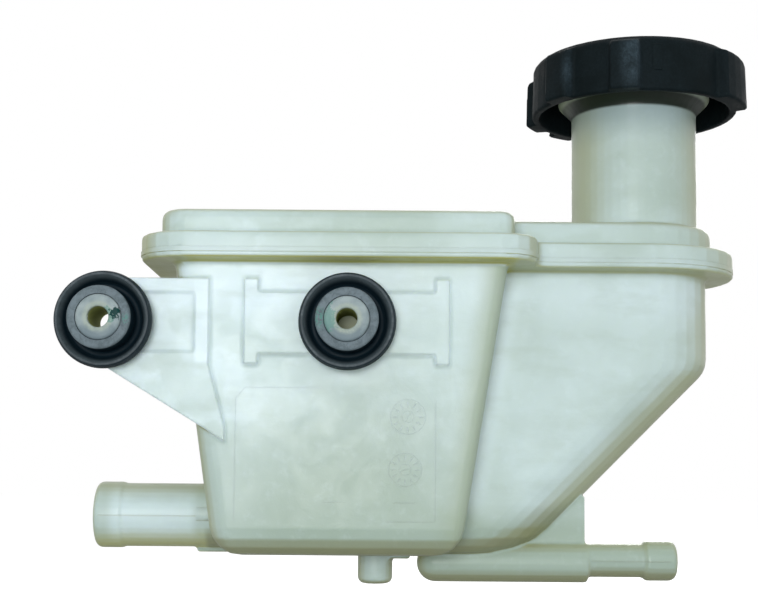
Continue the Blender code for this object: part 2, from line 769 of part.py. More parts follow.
def build_cap(material, parent):
    cap = place(cap_shell(), "cap", material, parent)
    low = COLLAR_TOP_Z + 2 * SEAT_GAP
    high = CEILING_Z + CAP_CROWN / 2
    outer = RING_RADIUS + THREAD_RING_WALL
    ring = ((RING_RADIUS, low), (outer, low), (outer, high), (RING_RADIUS, high))
    join(cap, turned(ring, "Z", FINE_STEPS))
    below = (THREAD_FOOT + THREAD_TIP) / 2 + THREAD_CLEARANCE
    join(cap, helix_ridge(RING_RADIUS, -1, HELIX_Z - below, low + SEAT_GAP, SEAL_Z - SEAT_GAP))
    return cap


def build_seal(material, parent):
    low, high = SEAL_Z, SEAL_Z + SEAL_THICKNESS
    inner, outer = NECK_RADIUS - NECK_WALL, RING_RADIUS - SEAT_GAP
    profile = ((inner, low), (outer, low), (outer, high), (inner, high))
    return place(turned(profile, "Z", FINE_STEPS), "cap_seal", material, parent)


def build_grommet(name, x, material, parent):
    """Rubber bobbin: a barrel-shaped ring on the plate, a collar round the bush and a snap bead."""
    seat = PLATE_FRONT - SEAT_GAP
    front = seat - GROMMET_RING
    collar_front = SEAT_GAP
    groove = seat - GROMMET_FLOOR
    lip = PLATE_BACK + SEAT_GAP
    bore = BUSH_RADIUS + SEAT_GAP
    profile = outline(
        [
            (bore, collar_front, EDGE, 1),
            (GROMMET_COLLAR, collar_front, GROMMET_FILLET, 1),
            (GROMMET_COLLAR, groove, GROMMET_FILLET, 1),
            (GROMMET_GROOVE, groove, GROMMET_FILLET, 1),
            (GROMMET_GROOVE, front, EDGE, 1),
            (GROMMET_RADIUS - GROMMET_BEVEL, front, GROMMET_ROUND, 1),
            (GROMMET_RADIUS, front + 2 * GROMMET_BEVEL, GROMMET_ROUND, 1),
            (GROMMET_RADIUS, seat - 3 * GROMMET_BEVEL, GROMMET_ROUND, 1),
            (GROMMET_RADIUS - GROMMET_BEVEL, seat, EDGE, 1),
            (GROMMET_BODY, seat, 0, 0),
            (GROMMET_BODY, lip, 0, 0),
            (GROMMET_BEAD, lip + EDGE, 0, 0),
            (GROMMET_BEAD, lip + 3 * EDGE, 0, 0),
            (GROMMET_BODY, BUSH_LENGTH, 0, 0),
            (bore, BUSH_LENGTH, 0, 0),
        ]
    )
    return place(turned(profile, "Y", COARSE_STEPS), name, material, parent, (x, 0.0, 0.0))


def build_bush(name, x, material, parent):
    profile = outline(
        [
            (BUSH_BORE, 0.0, EDGE, 1),
            (BUSH_RADIUS, 0.0, EDGE, 2),
            (BUSH_RADIUS, BUSH_LENGTH, EDGE, 1),
            (BUSH_BORE, BUSH_LENGTH, EDGE, 1),
        ]
    )
    return place(turned(profile, "Y", COARSE_STEPS), name, material, parent, (x, 0.0, 0.0))


def filter_edge(z, inset):
    """Front and back Y of the filter at a height, inside the tank's walls by an inset."""
    faces = (WELD_Z - z) * math.tan(FACE_DRAFT)
    return TANK_FRONT + faces + WALL + inset, TANK_BACK - faces - WALL - inset


def filter_panel(inset, low_x, high_x, round_edge):
    """An upright panel across the tank, its sides following the walls and its lower corners rounded."""
    low, high = FLOOR_Z + WALL + inset, FILTER_TOP_Z - (inset - SEAT_GAP)
    front_low, back_low = filter_edge(low, inset)
    front_high, back_high = filter_edge(high, inset)
    corners = (
        (front_low, low, round_edge, 4),
        (back_low, low, round_edge, 4),
        (back_high, high, FILTER_CORNER, 1),
        (front_high, high, FILTER_CORNER, 1),
    )
    return slab(outline(corners), "X", low_x, high_x)


def build_filter(frame_material, screen_material, parent):
    left = FILTER_X - FILTER_THICKNESS / 2
    right = FILTER_X + FILTER_THICKNESS / 2
    corner = FLOOR_ROUND - WALL
    frame = place(filter_panel(SEAT_GAP, left, right, corner), "filter_frame", frame_material, parent)
    window = SEAT_GAP + FILTER_BAR
    cut(frame, filter_panel(window, left - OVERRUN, right + OVERRUN, WINDOW_CORNER))
    rebate = left + SCREEN_THICKNESS + SEAT_GAP
    cut(frame, filter_panel(window - SCREEN_REBATE, left - OVERRUN, rebate, WINDOW_CORNER))
    edge = window - SCREEN_REBATE + SEAT_GAP
    screen = filter_panel(edge, left, left + SCREEN_THICKNESS, WINDOW_CORNER)
    place(screen, "filter_screen", screen_material, parent)


def main():
    clear_scene()
    natural = plastic("natural_plastic", (0.72, 0.77, 0.66), 0.38)
    cap_black = plastic("cap_plastic", (0.012, 0.013, 0.014), 0.55)
    rubber = plastic("grommet_rubber", (0.02, 0.022, 0.024), 0.7)
    seal_rubber = plastic("seal_rubber", (0.03, 0.03, 0.03), 0.75)
    bush_plastic = plastic("bush_plastic", (0.62, 0.63, 0.58), 0.45)
    filter_plastic = plastic("filter_plastic", (0.75, 0.74, 0.68), 0.5)
    screen_nylon = plastic("screen_nylon", (0.55, 0.56, 0.52), 0.6)

    reservoir = bpy.data.objects.new("reservoir_origin", None)
    bpy.context.scene.collection.objects.link(reservoir)
    cap_axis = bpy.data.objects.new("cap_axis", None)
    bpy.context.scene.collection.objects.link(cap_axis)
    cap_axis.parent = reservoir
    cap_axis.location = (NECK_X, NECK_Y, 0.0)

    build_tank(natural, reservoir)
    build_cover(natural, reservoir)
    build_cap(cap_black, cap_axis)
    build_seal(seal_rubber, cap_axis)
    build_filter(filter_plastic, screen_nylon, reservoir)
    for side, x in BUSH_CENTRES.items():
        build_grommet(f"grommet_{side}", x, rubber, reservoir)
        build_bush(f"bush_{side}", x, bush_plastic, reservoir)


main()
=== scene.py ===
"""Looks of the power steering reservoir: moulded natural plastic, black cap, rubber mounts, light and camera.

Lengths are in metres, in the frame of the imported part: X along the tank, Y to its back and Z up.
"""
import json
import math

import bmesh
import bpy
from mathutils import Matrix, Vector
from mathutils.bvhtree import BVHTree

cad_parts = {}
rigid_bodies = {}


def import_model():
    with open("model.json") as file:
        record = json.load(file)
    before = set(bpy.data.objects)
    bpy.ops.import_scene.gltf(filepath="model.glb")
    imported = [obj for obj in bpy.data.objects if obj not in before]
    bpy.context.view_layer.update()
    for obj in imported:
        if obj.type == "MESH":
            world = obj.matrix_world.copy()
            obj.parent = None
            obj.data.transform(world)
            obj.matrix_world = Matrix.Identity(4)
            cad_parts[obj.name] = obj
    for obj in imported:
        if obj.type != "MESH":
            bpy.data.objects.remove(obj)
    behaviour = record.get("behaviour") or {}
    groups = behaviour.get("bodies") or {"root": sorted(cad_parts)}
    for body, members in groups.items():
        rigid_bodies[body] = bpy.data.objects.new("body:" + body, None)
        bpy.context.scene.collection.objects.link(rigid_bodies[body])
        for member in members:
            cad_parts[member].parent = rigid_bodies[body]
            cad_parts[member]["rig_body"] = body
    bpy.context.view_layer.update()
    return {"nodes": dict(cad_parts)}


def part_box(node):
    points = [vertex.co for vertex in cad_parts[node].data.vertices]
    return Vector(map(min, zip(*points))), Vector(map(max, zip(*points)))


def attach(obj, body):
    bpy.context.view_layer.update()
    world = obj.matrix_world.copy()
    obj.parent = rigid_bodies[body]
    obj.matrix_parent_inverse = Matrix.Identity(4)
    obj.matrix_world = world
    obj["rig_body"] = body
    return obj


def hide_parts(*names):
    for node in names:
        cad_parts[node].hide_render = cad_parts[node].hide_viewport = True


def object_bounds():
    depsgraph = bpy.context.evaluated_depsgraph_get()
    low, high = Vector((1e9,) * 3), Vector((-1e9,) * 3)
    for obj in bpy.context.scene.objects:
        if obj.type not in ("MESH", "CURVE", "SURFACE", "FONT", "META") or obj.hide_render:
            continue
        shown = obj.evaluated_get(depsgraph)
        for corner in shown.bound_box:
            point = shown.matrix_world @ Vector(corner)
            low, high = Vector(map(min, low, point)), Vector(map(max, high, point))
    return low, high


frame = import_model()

MM = 0.001

# Camera, fitted to the photograph: its place, its tilt and roll in degrees, and its focal length in pixels
IMAGE_WIDTH = 758
FOCAL_LENGTH = 1350
SENSOR = 36.0
CAMERA_PLACE = Vector((9.35, -371.5, -43.2)) * MM
CAMERA_PITCH = 4.0
CAMERA_ROLL = 0.45
SHIFT_X = -0.0013
SHIFT_Y = 0.1063

# Light: the world's strength from above and from below, and how far down and how bright the floor is
SKY = 0.68
GROUND = 0.22
FLOOR_DROP = 45 * MM
FLOOR_GLOW = 0.67

# Lamps: name, place from the middle of the part, diameter, power and colour
LAMPS = (
    ("key", (-0.09, -0.74, 0.02), 0.30, 2.75, (0.97, 1.0, 1.0)),
    ("fill", (0.45, -0.55, 0.05), 0.40, 0.35, (0.98, 1.0, 0.98)),
    ("back", (0.25, 0.85, 0.30), 0.50, 3.00, (0.98, 1.0, 1.0)),
)

# Remeshing of the moulded pieces: voxel, rounds of smoothing and most triangles
TANK_MESH = (0.50 * MM, 2, 190000)
COVER_MESH = (0.50 * MM, 3, 170000)
CAP_MESH = (0.45 * MM, 2, 150000)

# Colours, linear
NATURAL_PALE = (0.64, 0.765, 0.785)
NATURAL_FROST_AND_LIGHT = (0.74, 0.86, 0.92)
NATURAL_SAGE = (0.36, 0.45, 0.385)
NATURAL_OLIVE_SHADE = (0.395, 0.43, 0.275)
NATURAL_DEEP_SHADE = (0.41, 0.405, 0.075)
NATURAL_FOOT_SHADE = (0.20, 0.215, 0.14)
NATURAL_STEP_SHADE = (0.335, 0.405, 0.305)
NATURAL_SHADE = (0.20, 0.28, 0.33)
NATURAL_CAP_SHADOW = (0.006, 0.014, 0.007)
CAP_BLACK = (0.0034, 0.0064, 0.0072)
CAP_DUST_AND_SHEEN = (0.045, 0.068, 0.085)
RUBBER = (0.052, 0.064, 0.072)
RUBBER_DUST = (0.125, 0.150, 0.165)
RUBBER_FACE = (0.150, 0.190, 0.215)
RUBBER_SCUFF = (0.095, 0.125, 0.140)
RUBBER_LIT_WALL = (0.090, 0.122, 0.138)
RUBBER_DEEP_SHADE = (0.004, 0.013, 0.020)
BUSH = (0.32, 0.38, 0.39)
BUSH_GREY = (0.17, 0.22, 0.245)
BUSH_RIM = (0.35, 0.405, 0.35)
BUSH_BORE_SHADE = (0.32, 0.35, 0.13)
PAINT = (0.0, 0.034, 0.032)
PAINT_WASH = (0.09, 0.25, 0.21)
SEAL = (0.03, 0.03, 0.032)
FILTER = (0.62, 0.62, 0.55)
SCREEN = (0.42, 0.43, 0.38)

# Sizes that the pieces of the scene share with the solids
BUSH_RADIUS = 6.4 * MM
BUSH_BORE = 2.95 * MM
BUSH_LENGTH = 19.0 * MM
BUSH_PITCH = 69.0 * MM
SEAT_GAP = 0.3 * MM
COLLAR_FIT = 0.06 * MM
PLATE_FRONT = 12.0 * MM
PLATE_BACK = 16.0 * MM
TANK_LEFT = -51.0 * MM
TANK_FRONT = 13.1 * MM
STEP_X = 46.6 * MM
WEB_Y = 42.7 * MM
NECK_X = 89.1 * MM
NECK_Y = 50.5 * MM
LOBE_RADIUS = 21.8 * MM
WELD_Z = 19.9 * MM
FLANGE_OVERHANG = 8.3 * MM
FLANGE_REACH = 1.1 * MM
CORNER_ROUND = 6.0 * MM
STEP_ROUND = 3.0 * MM
FLANGE_INNER_ROUND = 3.0 * MM
NECK_FLARE_Z = 69.2 * MM
NECK_FLARE_REACH = 27.0 * MM
COLLAR_TOP_Z = 73.4 * MM
CAP_RADIUS = 31.5 * MM
CAP_TOP_Z = 87.7 * MM
STEP_LEAN = math.tan(math.radians(9.2))

# Grommet: radii of its collar, of the groove's floor and front, and of its neck and snap bead behind the ring
COLLAR_RADIUS = 8.9 * MM
GROOVE_RADIUS = 10.5 * MM
WALL_RADIUS = 12.5 * MM
NECKED_RADIUS = 9.3 * MM
SNAP_RADIUS = 10.5 * MM
GROMMET_FRONT = 0.5 * MM
RING_LENGTH = 6.8 * MM
GROOVE_FLOOR = 2.0 * MM

# Places where the look changes: the arm's bar (left, right, low, high), the pads' faces (Y), and the wear,
# which also paints highlights on the cap's lugs
ARM_BAR = (-43.6 * MM, -39.9 * MM, -11.7 * MM, 12.7 * MM)
PAD_FACES = (11.6 * MM, 13.8 * MM)
RUBBED_LUG_AND_HIGHLIGHT = (83.6 * MM, 17.2 * MM, 79.5 * MM)
RUBBED_EDGE_AND_HIGHLIGHT = (65.2 * MM, 26.4 * MM, 79.0 * MM)
PAINT_ON_RUBBER = ((-61.4 * MM, 0.6 * MM, -0.3 * MM), (-7.6 * MM, 0.6 * MM, 0.2 * MM))
PAINT_ON_BUSHES = ((-66.0 * MM, 0.0, 0.4 * MM), (-5.2 * MM, 0.0, -0.2 * MM))
PAINT_DAB = (-64.2 * MM, 0.0, 1.1 * MM)

# The recess of the bracket arm is cut open towards the left between these corners
ARM_BAND_LOW = (-61.0 * MM, 9.0 * MM, -8.8 * MM)
ARM_BAND_HIGH = (-54.5 * MM, 12.6 * MM, 8.8 * MM)

# Weld bead: how far it stands out, how deep it reaches in, its rounded edge and half its height
BEAD_PROUD = 0.07 * MM
BEAD_DEPTH = 1.2 * MM
BEAD_ROUND = 0.35 * MM
BEAD_HALF = 0.75 * MM

# Ridges: spacing of their sections and depth below the surface, then the width and height of each kind
RIDGE_STEP = 0.8 * MM
RIDGE_SINK = 0.15 * MM
DIAL_RIM = (0.32 * MM, 0.05 * MM)
DIAL_HUB = (0.28 * MM, 0.05 * MM)
DIAL_TICK = (0.55 * MM, 0.10 * MM)
DIAL_POINTER = (0.35 * MM, 0.12 * MM)
INSERT_EDGE = (0.35 * MM, 0.03 * MM)
PARTING_EDGE = (0.40 * MM, 0.10 * MM)
GATE_HEIGHT = 0.5 * MM

# Small moulded details on the tank: places are (x, z), and each dial has a radius and a pointer's angle
DIAL_TICKS = 12
DIALS = (
    ((17.4 * MM, -26.6 * MM), 5.0 * MM, math.radians(60)),
    ((16.7 * MM, -41.7 * MM), 4.7 * MM, math.radians(200)),
)
INSERT_LINES = (
    ((-31.9 * MM, -56.4 * MM), (-31.9 * MM, -21.6 * MM), (-29.2 * MM, -18.5 * MM), (-7.2 * MM, -18.4 * MM)),
    ((-6.9 * MM, -51.0 * MM), (-0.3 * MM, -51.0 * MM)),
    ((13.3 * MM, -51.1 * MM), (19.6 * MM, -51.1 * MM)),
    ((11.7 * MM, -56.5 * MM), (25.3 * MM, -56.4 * MM), (25.3 * MM, -22.0 * MM)),
)
PARTING_LINES = (
    ((-74.5 * MM, -55.8 * MM), (-45.5 * MM, -55.8 * MM)),
    ((73.5 * MM, -68.6 * MM), (97.0 * MM, -68.6 * MM)),
)
GATE = (-45.2 * MM, -41.4 * MM, -57.4 * MM, -53.2 * MM)

# Rib on the cap's skirt: its ends below the cap's top, its middle and half width as angles, and its height
RIB_TOP = 3.4 * MM
RIB_FOOT = 11.5 * MM
RIB_MIDDLE = math.radians(2.5)
RIB_HALF = math.radians(3.3)
RIB_HEIGHT = 0.5 * MM
RIB_SINK = 0.6 * MM
RIB_STEPS = 10


def new_material(name):
    """A material, its node tree and its shader."""
    material = bpy.data.materials.new(name)
    material.use_nodes = True
    return material, material.node_tree, material.node_tree.nodes["Principled BSDF"]


def feed(tree, socket, value):
    """Links a socket into another, or sets it to a plain value."""
    if isinstance(value, bpy.types.NodeSocket):
        tree.links.new(value, socket)
    elif isinstance(value, tuple) and len(value) == 3 and socket.type == "RGBA":
        socket.default_value = (*value, 1.0)
    else:
        socket.default_value = value


def noise(tree, scale, detail=3.0, roughness=0.55, distortion=0.0, stretch=(1.0, 1.0, 1.0)):
    """Fractal noise over the object's own coordinates, in features per metre."""
    coords = tree.nodes.new("ShaderNodeTexCoord")
    mapping = tree.nodes.new("ShaderNodeMapping")
    mapping.inputs["Scale"].default_value = stretch
    made = tree.nodes.new("ShaderNodeTexNoise")
    made.inputs["Scale"].default_value = scale
    made.inputs["Detail"].default_value = detail
    made.inputs["Roughness"].default_value = roughness
    made.inputs["Distortion"].default_value = distortion
    tree.links.new(coords.outputs["Object"], mapping.inputs["Vector"])
    tree.links.new(mapping.outputs["Vector"], made.inputs["Vector"])
    return made.outputs["Fac"]


def span(tree, value, start, end, low=0.0, high=1.0):
    """Maps start..end of a value smoothly onto low..high."""
    made = tree.nodes.new("ShaderNodeMapRange")
    made.interpolation_type = "SMOOTHSTEP"
    feed(tree, made.inputs["Value"], value)
    made.inputs["From Min"].default_value = start
    made.inputs["From Max"].default_value = end
    made.inputs["To Min"].default_value = low
    made.inputs["To Max"].default_value = high
    return made.outputs["Result"]


def maths(tree, operation, first, second):
    """One operation on two values or sockets. Sums and differences stay between 0 and 1."""
    made = tree.nodes.new("ShaderNodeMath")
    made.operation = operation
    made.use_clamp = operation in ("ADD", "SUBTRACT")
    feed(tree, made.inputs[0], first)
    feed(tree, made.inputs[1], second)
    return made.outputs["Value"]


def mix(tree, share, first, second):
    """A colour between two others."""
    made = tree.nodes.new("ShaderNodeMix")
    made.data_type = "RGBA"
    feed(tree, made.inputs["Factor"], share)
    feed(tree, made.inputs[6], first)
    feed(tree, made.inputs[7], second)
    return made.outputs[2]


def part_of(tree, kind, output, channel):
    """One channel of a vector that a node gives."""
    source = tree.nodes.new(kind)
    split = tree.nodes.new("ShaderNodeSeparateXYZ")
    tree.links.new(source.outputs[output], split.inputs[0])
    return split.outputs[channel]


def corners(tree, reach):
    """1 deep in a corner or under a ledge, and 0 on open faces."""
    made = tree.nodes.new("ShaderNodeAmbientOcclusion")
    made.samples = 8
    made.inputs["Distance"].default_value = reach
    return maths(tree, "SUBTRACT", 1.0, made.outputs["AO"])


def bump(tree, shader, layers):
    """Stacks bumps (height, depth in metres) onto a shader's normal."""
    last = None
    for height, depth in layers:
        made = tree.nodes.new("ShaderNodeBump")
        made.inputs["Strength"].default_value = 1.0
        made.inputs["Distance"].default_value = depth
        tree.links.new(height, made.inputs["Height"])
        if last:
            tree.links.new(last, made.inputs["Normal"])
        last = made.outputs["Normal"]
    tree.links.new(last, shader.inputs["Normal"])


def distance_to(tree, centre, stretch=(1.0, 1.0, 1.0)):
    """Distance of a point of the surface from a centre, with each axis weighed."""
    coords = tree.nodes.new("ShaderNodeTexCoord")
    mapping = tree.nodes.new("ShaderNodeMapping")
    mapping.vector_type = "POINT"
    mapping.inputs["Location"].default_value = tuple(-c * s for c, s in zip(centre, stretch))
    mapping.inputs["Scale"].default_value = stretch
    length = tree.nodes.new("ShaderNodeVectorMath")
    length.operation = "LENGTH"
    tree.links.new(coords.outputs["Object"], mapping.inputs["Vector"])
    tree.links.new(mapping.outputs["Vector"], length.inputs[0])
    return length.outputs["Value"]


def spot(tree, centre, radius, ragged, stretch=(1.0, 1.0, 1.0)):
    """1 within a ragged patch about a centre, and 0 outside it."""
    away = distance_to(tree, centre, stretch)
    rough = span(tree, ragged, 0.3, 0.7, 0.0, radius)
    return span(tree, maths(tree, "ADD", away, rough), 1.55 * radius, 1.25 * radius)


def product(tree, *values):
    """The product of some shares."""
    result = values[0]
    for value in values[1:]:
        result = maths(tree, "MULTIPLY", result, value)
    return result


def total(tree, *values):
    """The sum of some shares, held between 0 and 1."""
    result = values[0]
    for value in values[1:]:
        result = maths(tree, "ADD", result, value)
    return result


def between(tree, value, start, end, blur):
    """1 where a value lies between two others, fading out over a blur at each."""
    rising = span(tree, value, start - blur, start + blur)
    falling = span(tree, value, end + blur, end - blur)
    return product(tree, rising, falling)


def outside(tree, mask, kept=0.0):
    """1 off a mask, and what is kept of it on the mask."""
    return span(tree, mask, 0.0, 1.0, 1.0, kept)


def natural_tint(tree, x, y, z, turned, clouds):
    """How sage the plastic is: palest high on the left, deeper to the right, low down and on the cover. The
    pale high left and the sage low down are painted light and shade falling from above and the left.
    """
    right = span(tree, x, -46 * MM, 12 * MM)
    left = span(tree, x, 46 * MM, 12 * MM)
    low = span(tree, z, -6 * MM, -60 * MM)
    cover = product(tree, span(tree, z, 13 * MM, 19 * MM), left)
    neck = span(tree, z, 34 * MM, 42 * MM)
    foot = product(tree, span(tree, z, -50 * MM, -62 * MM), span(tree, x, 18 * MM, 30 * MM))
    arm = product(tree, span(tree, x, -40 * MM, -52 * MM), span(tree, z, -20 * MM, -10 * MM))
    web = product(
        tree,
        between(tree, y, WEB_Y - 1.5 * MM, WEB_Y + 1.5 * MM, 0.2 * MM),
        span(tree, z, -34 * MM, -42 * MM),
        span(tree, turned, 0.80, 0.95),
    )
    tint = total(
        tree,
        product(tree, right, 0.40),
        product(tree, low, left, 0.57),
        product(tree, cover, 0.30),
        product(tree, neck, 0.22),
        product(tree, foot, 0.62),
        product(tree, arm, 0.22),
        product(tree, web, 0.60),
        span(tree, clouds, 0.42, 0.72, 0.0, 0.24),
    )
    spigot = product(tree, between(tree, x, -71 * MM, -46 * MM, 2 * MM), span(tree, z, -40 * MM, -46 * MM))
    peg = product(tree, span(tree, z, -66.5 * MM, -68 * MM), span(tree, x, 18 * MM, 15 * MM))
    lobe = product(tree, span(tree, x, 44 * MM, 54 * MM), span(tree, z, -60 * MM, -54 * MM))
    fittings = product(tree, total(tree, spigot, peg), 0.42)
    paler = total(tree, fittings, product(tree, low, lobe, 0.20))
    return maths(tree, "SUBTRACT", tint, paler)


def past_step(tree, x, z):
    """How far right a point is, measured along the lean of the wall where the tank steps back to the lobe."""
    lean = maths(tree, "MULTIPLY", maths(tree, "SUBTRACT", WELD_Z, z), STEP_LEAN)
    return maths(tree, "ADD", x, lean)


def step_corner(tree, beyond, y, z):
    """1 along the rounded front corner of that step, fading out towards the left."""
    strip = span(tree, beyond, STEP_X - 10 * MM, STEP_X - 1 * MM)
    return product(tree, strip, span(tree, y, 26 * MM, 20 * MM), span(tree, z, 17.6 * MM, 16.6 * MM))


def lobe_side(tree, beyond, y, z):
    """1 on the lobe's front wall close to that step."""
    strip = between(tree, beyond, STEP_X - 1 * MM, STEP_X + 5 * MM, 3 * MM)
    wall = between(tree, y, 27 * MM, 40 * MM, 1 * MM)
    return product(tree, strip, wall, between(tree, z, -52 * MM, 12 * MM, 4 * MM))


def arm_bar(tree, x, y, z):
    """1 on the upright bar at the right end of the bracket arm."""
    left, right, low, high = ARM_BAR
    across = between(tree, x, left, right, 0.8 * MM)
    upright = between(tree, z, low, high, 0.8 * MM)
    return product(tree, across, upright, span(tree, y, 12.9 * MM, 12.3 * MM))


def raised_pads(tree, y, z):
    """1 on the pads and the arm, which stand out from the front wall."""
    return product(tree, between(tree, y, *PAD_FACES, 0.3 * MM), span(tree, z, 18 * MM, 17 * MM))


def below_flange(tree, z, front):
    """1 on the front walls close below the flange, fading out downwards."""
    return product(tree, span(tree, z, -2 * MM, 13 * MM), span(tree, z, 17.2 * MM, 15.2 * MM), front)


def under_cap(tree, x):
    """1 on the part of the neck where the cap skirt's shadow is painted, less so at its left and right."""
    away = distance_to(tree, (NECK_X, NECK_Y, 0.0), (1.0, 1.0, 0.0))
    ring = span(tree, away, NECK_FLARE_REACH, 0.95 * NECK_FLARE_REACH)
    middle = between(tree, x, NECK_X - 20.5 * MM, NECK_X + 20.5 * MM, 2.5 * MM)
    return product(tree, ring, span(tree, middle, 0.0, 1.0, 0.72, 1.0))


def dial_tint(tree, centre, radius):
    """1 over a moulded dial on the front wall, fading out past its rim."""
    away = distance_to(tree, (centre[0], 0.0, centre[1]), (1.0, 0.0, 1.0))
    return span(tree, away, 1.1 * radius, 0.8 * radius)


def natural_plastic():
    """Milky natural plastic: pale on open faces, with painted shade in sage lower down and in olive on ends,
    corners and undersides, and painted light below the flange.
    """
    material, tree, shader = new_material("natural_plastic")
    clouds = noise(tree, 22, detail=3.0, roughness=0.5)
    blotch = noise(tree, 105, detail=5.0, roughness=0.6, distortion=0.7)
    milk = noise(tree, 70, detail=3.0, roughness=0.5, distortion=0.3)
    frost = noise(tree, 320, detail=4.0, roughness=0.6)
    streaks = noise(tree, 90, detail=4.0, stretch=(0.5, 1.0, 1.5))
    grain = noise(tree, 2400, detail=2.0)
    x, y, z = (part_of(tree, "ShaderNodeTexCoord", "Object", channel) for channel in range(3))
    across, upward = (part_of(tree, "ShaderNodeNewGeometry", "Normal", channel) for channel in (1, 2))
    turned = maths(tree, "ABSOLUTE", across, 0.0)
    front = span(tree, across, -0.4, -0.8)
    wall = span(tree, turned, 0.97, 0.45)
    nook = corners(tree, 11 * MM)
    beyond = past_step(tree, x, z)
    corner = step_corner(tree, beyond, y, z)
    pad = raised_pads(tree, y, z)
    # Painted light below the flange, where it also holds back the painted shade
    ledge = below_flange(tree, z, front)
    open_faces = product(tree, outside(tree, pad, 0.15), outside(tree, ledge, 0.35))

    # Sage deepens the pale plastic from place to place, a milky mottle whitens it high on the left and a fine
    # frost all over; the same whiter colour is painted light below the flange, beside the step and on the
    # pads' walls, and makes the arm's bar whiter
    body = mix(tree, natural_tint(tree, x, y, z, turned, clouds), NATURAL_PALE, NATURAL_SAGE)
    high = span(tree, z, -42 * MM, -30 * MM)
    frost_and_painted_light = total(
        tree,
        product(tree, span(tree, milk, 0.48, 0.62), high, span(tree, x, 0.0, -50 * MM, 0.08, 0.46)),
        span(tree, frost, 0.5, 0.8, 0.0, 0.12),
        product(tree, ledge, span(tree, x, 40 * MM, -20 * MM, 0.42, 0.90)),
        product(tree, arm_bar(tree, x, y, z), 0.65),
        product(tree, lobe_side(tree, beyond, y, z), 0.38),
        product(tree, pad, wall),
    )
    body = mix(tree, frost_and_painted_light, body, NATURAL_FROST_AND_LIGHT)
    body = mix(tree, span(tree, streaks, 0.46, 0.70, 0.0, 0.24), body, NATURAL_SAGE)
    dials = total(tree, *(dial_tint(tree, centre, radius) for centre, radius, pointer in DIALS))
    speckled = span(tree, frost, 0.35, 0.65, 0.10, 0.34)
    body = mix(tree, product(tree, dials, front, speckled), body, NATURAL_SAGE)

    # Painted shade: olive on side walls, in nooks and at the flange's left end, and a darker sage along the
    # step's corner
    flange_end = product(tree, span(tree, x, -54 * MM, -59 * MM), span(tree, z, 16 * MM, 18 * MM))
    olive = total(
        tree,
        product(tree, wall, open_faces, span(tree, corner, 0.0, 0.6, 1.0, 0.0), 0.80),
        product(tree, span(tree, nook, 0.35, 0.85, 0.0, 0.48), open_faces),
        product(tree, flange_end, 0.55),
    )
    body = mix(tree, olive, body, NATURAL_OLIVE_SHADE)
    body = mix(tree, product(tree, corner, 0.85), body, NATURAL_STEP_SHADE)

    # Painted shade: deep olive on undersides and deep in nooks, less on the slope, the pads, the spigots and
    # the gallery, and a darker foot
    slope = product(tree, span(tree, beyond, STEP_X, STEP_X + 4 * MM), span(tree, z, -60 * MM, -56 * MM))
    pipes = total(tree, span(tree, x, -44 * MM, -48 * MM), span(tree, z, -60 * MM, -63 * MM))
    under = product(
        tree,
        span(tree, upward, -0.30, -0.95, 0.0, 0.85),
        outside(tree, slope, 0.35),
        outside(tree, pad, 0.1),
        outside(tree, pipes, 0.55),
    )
    deep = total(tree, under, product(tree, span(tree, nook, 0.55, 0.95, 0.0, 0.50), open_faces))
    body = mix(tree, deep, body, NATURAL_DEEP_SHADE)
    foot = product(tree, span(tree, z, -48 * MM, -56 * MM), span(tree, x, -43.5 * MM, -41.5 * MM))
    body = mix(tree, product(tree, span(tree, upward, -0.20, -0.80), foot, 0.7), body, NATURAL_FOOT_SHADE)

    # Painted shade high on the neck, and the shadow of the cap's skirt painted near black on the stop collar
    dark = under_cap(tree, x)
    body = mix(tree, product(tree, dark, span(tree, z, 57 * MM, 69 * MM), 0.45), body, NATURAL_SHADE)
    collar = between(tree, z, NECK_FLARE_Z + 0.45 * MM, COLLAR_TOP_Z, 0.45 * MM)
    body = mix(tree, product(tree, dark, collar), body, NATURAL_CAP_SHADOW)

    feed(tree, shader.inputs["Base Color"], body)
    feed(tree, shader.inputs["Roughness"], span(tree, blotch, 0.3, 0.7, 0.30, 0.44))
    shader.inputs["Subsurface Weight"].default_value = 0.3
    shader.inputs["Subsurface Radius"].default_value = (1.0, 1.0, 0.7)
    shader.inputs["Subsurface Scale"].default_value = 2.0 * MM
    shader.inputs["IOR"].default_value = 1.49
    shader.inputs["Specular IOR Level"].default_value = 0.35
    bump(tree, shader, [(clouds, 1.0 * MM), (blotch, 0.12 * MM), (frost, 0.03 * MM), (grain, 0.010 * MM)])
    return material


